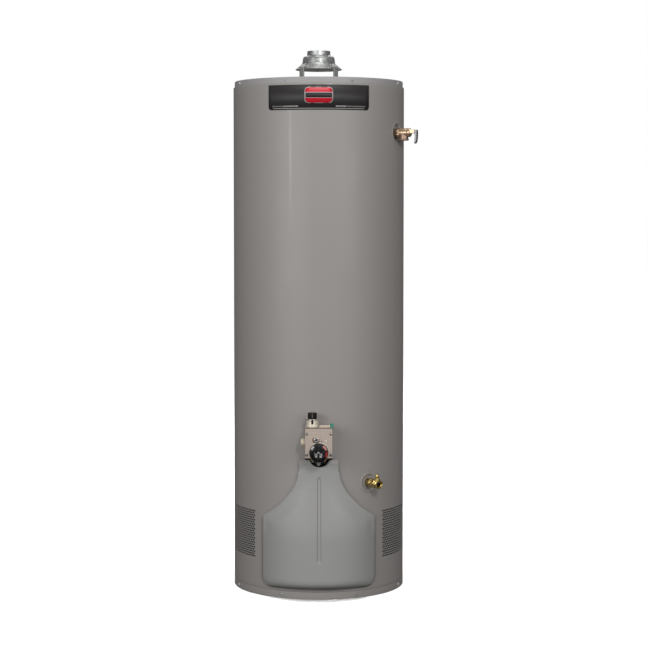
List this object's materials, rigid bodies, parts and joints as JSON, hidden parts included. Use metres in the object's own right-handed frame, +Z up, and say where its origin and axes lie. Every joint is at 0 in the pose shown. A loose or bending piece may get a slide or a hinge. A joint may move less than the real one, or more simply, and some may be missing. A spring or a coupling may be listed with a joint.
{
  "type": "tank water heater",
  "caption": "Tall round gas storage water heater: steel jacket, draft hood, gas control, lift-off burner cover, relief valve and hose drain valve.",
  "frame": {"origin": "centre of the base, on the floor", "axes": "+Z up along the tank; -Y out of the front, where the gas control is; +X to the right seen from the front, towards the relief valve"},
  "size_m": [0.5652, 0.6195, 1.6539],
  "materials": {
    "jacket_paint": "satin",
    "cover_paint": "satin",
    "lid_paint": "matte",
    "galvanised": "satin",
    "tank_steel": "matte",
    "bright_steel": "satin",
    "cast_aluminium": "satin",
    "tube_aluminium": "satin",
    "copper": "satin",
    "brass": "satin",
    "black_plastic": "satin",
    "blue_plastic": "satin",
    "red_plastic": "satin",
    "white_plastic": "satin",
    "foam": "matte",
    "gasket": "matte",
    "glass": "polished",
    "badge": "satin"
  },
  "bodies": {
    "heater": {"air_screen_left": "tank_steel", "air_screen_right": "tank_steel", "anode_rod": "tube_aluminium", "bottom_pan": "jacket_paint", "burner": "tank_steel", "cold_marker_ring": "blue_plastic", "cold_nipple": "bright_steel", "combustion_skirt": "tank_steel", "dip_tube": "white_plastic", "door_gasket": "gasket", "draft_hood": "galvanised", "drain_recess_cup": "jacket_paint", "drain_valve_body": "brass", "face_screw_1": "bright_steel", "face_screw_2": "bright_steel", "face_screw_3": "bright_steel", "face_screw_4": "bright_steel", "flame_arrestor_plate": "tank_steel", "flue_baffle": "tank_steel", "flue_tube": "tank_steel", "foam_insulation": "foam", "gas_cock_neck": "cast_aluminium", "gas_inlet_fitting": "cast_aluminium", "gas_valve_body": "cast_aluminium", "gas_valve_face_plate": "cast_aluminium", "hood_leg_1": "galvanised", "hood_leg_2": "galvanised", "hood_leg_3": "galvanised", "hood_leg_4": "galvanised", "hot_marker_ring": "red_plastic", "hot_nipple": "bright_steel", "inner_door": "tank_steel", "jacket": "jacket_paint", "manifold_tube": "tube_aluminium", "name_badge": "badge", "pilot_adjust_screw": "cast_aluminium", "pilot_assembly": "bright_steel", "pilot_tube": "tube_aluminium", "sight_glass": "glass", "tank_bottom_head": "tank_steel", "tank_shell": "tank_steel", "tank_top_head": "tank_steel", "thermocouple_lead": "copper", "thermostat_probe": "copper", "top_pan": "lid_paint", "tp_probe": "brass", "tp_recess_cup": "jacket_paint", "tp_valve_body": "brass"},
    "outer_cover": {"outer_cover": "cover_paint"},
    "temperature_dial": {"temperature_dial": "black_plastic"},
    "gas_cock_stem": {"gas_cock_stem": "bright_steel"},
    "gas_knob": {"gas_knob": "black_plastic"},
    "tp_lever": {"tp_lever": "bright_steel"},
    "tp_stem": {"tp_stem": "bright_steel"},
    "drain_valve_stem": {"drain_valve_stem": "brass", "drain_ball": "bright_steel"}
  },
  "joints": [
    {"name": "cover_lift_off", "type": "slide", "parent": "heater", "child": "outer_cover", "axis": [0, -1, 0], "range_m": [0, 0.3]},
    {"name": "dial_turn", "type": "hinge", "parent": "heater", "child": "temperature_dial", "pos_m": [0, -0.333, 0.452], "axis": [0, -1, 0], "range_deg": [-150, 120]},
    {"name": "gas_cock_turn", "type": "hinge", "parent": "heater", "child": "gas_cock_stem", "pos_m": [-0.019, -0.3, 0.52], "axis": [0, 0, 1], "range_deg": [0, 180]},
    {"name": "gas_knob_push", "type": "slide", "parent": "gas_cock_stem", "child": "gas_knob", "axis": [0, 0, -1], "range_m": [0, 0.005], "stiffness_N_per_m": 600, "springref_m": -0.002},
    {"name": "relief_lever_lift", "type": "hinge", "parent": "heater", "child": "tp_lever", "pos_m": [0.28821, -0.13439, 1.403], "axis": [-0.4226, -0.9063, 0], "range_deg": [0, 90], "stiffness_Nm_per_rad": 0.1, "springref_deg": -17.19},
    {"name": "relief_stem_pull", "type": "slide", "parent": "heater", "child": "tp_stem", "axis": [0.9063, -0.4226, 0], "range_m": [0, 0.0032]},
    {"name": "drain_turn", "type": "hinge", "parent": "heater", "child": "drain_valve_stem", "pos_m": [0.17335, -0.25034, 0.37], "axis": [0, 0, 1], "range_deg": [0, 90]}
  ],
  "couplings": [
    {"joint": "relief_stem_pull", "follows": "relief_lever_lift", "m_per_rad": 0.002}
  ]
}
